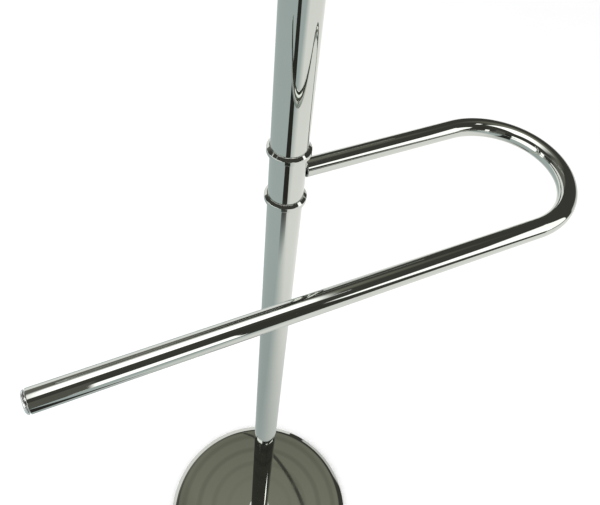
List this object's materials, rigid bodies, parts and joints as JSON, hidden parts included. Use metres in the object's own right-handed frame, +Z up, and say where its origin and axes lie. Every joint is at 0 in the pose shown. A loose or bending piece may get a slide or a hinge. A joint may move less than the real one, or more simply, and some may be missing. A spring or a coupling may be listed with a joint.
{
  "type": "valet stand",
  "caption": "Free-standing valet stand: round weighted base, tubular post and U-shaped swing arms that swivel on collars, each with an open end.",
  "frame": {"origin": "on the floor at the centre of the base, on the post's axis", "axes": "+Z up the post; +X along the lower arm's short leg; the lower arm's long leg is on the -Y side"},
  "size_m": [0.3864, 0.267, 0.9332],
  "materials": {
    "chrome": "polished mirror chrome plate",
    "steel": "turned, zinc plated",
    "cast_iron": "rough, black lacquered",
    "rubber": "matt foam rubber",
    "nylon": "natural nylon"
  },
  "bodies": {
    "stand": {"base_cover": "chrome", "foot_ring": "chrome", "lower_post_tube": "chrome", "lower_joint_bottom_ring": "chrome", "lower_joint_top_ring": "chrome", "upper_post_tube": "chrome", "upper_joint_bottom_ring": "chrome", "upper_joint_top_ring": "chrome", "top_cap": "chrome", "base_weight": "cast_iron", "base_pad": "rubber", "base_washer": "steel", "base_bolt": "steel", "foot_plug": "steel", "lower_post_top_plug": "steel", "upper_post_bottom_plug": "steel", "upper_post_top_plug": "steel", "lower_spindle": "steel", "upper_spindle": "steel", "lower_wave_washer": "steel", "upper_wave_washer": "steel"},
    "lower_arm": {"lower_collar": "chrome", "lower_arm_tube": "chrome", "lower_arm_tip": "chrome", "lower_collar_top_bush": "nylon", "lower_collar_bottom_bush": "nylon", "lower_arm_plug": "steel", "lower_arm_screw": "steel"},
    "upper_arm": {"upper_collar": "chrome", "upper_arm_tube": "chrome", "upper_arm_tip": "chrome", "upper_collar_top_bush": "nylon", "upper_collar_bottom_bush": "nylon", "upper_arm_plug": "steel", "upper_arm_screw": "steel"}
  },
  "joints": [
    {"name": "lower_arm_swivel", "type": "hinge", "parent": "stand", "child": "lower_arm", "pos_m": [0, 0, 0.73], "axis": [0, 0, 1], "continuous": true},
    {"name": "upper_arm_swivel", "type": "hinge", "parent": "stand", "child": "upper_arm", "pos_m": [0, 0, 0.895], "axis": [0, 0, 1], "continuous": true}
  ]
}
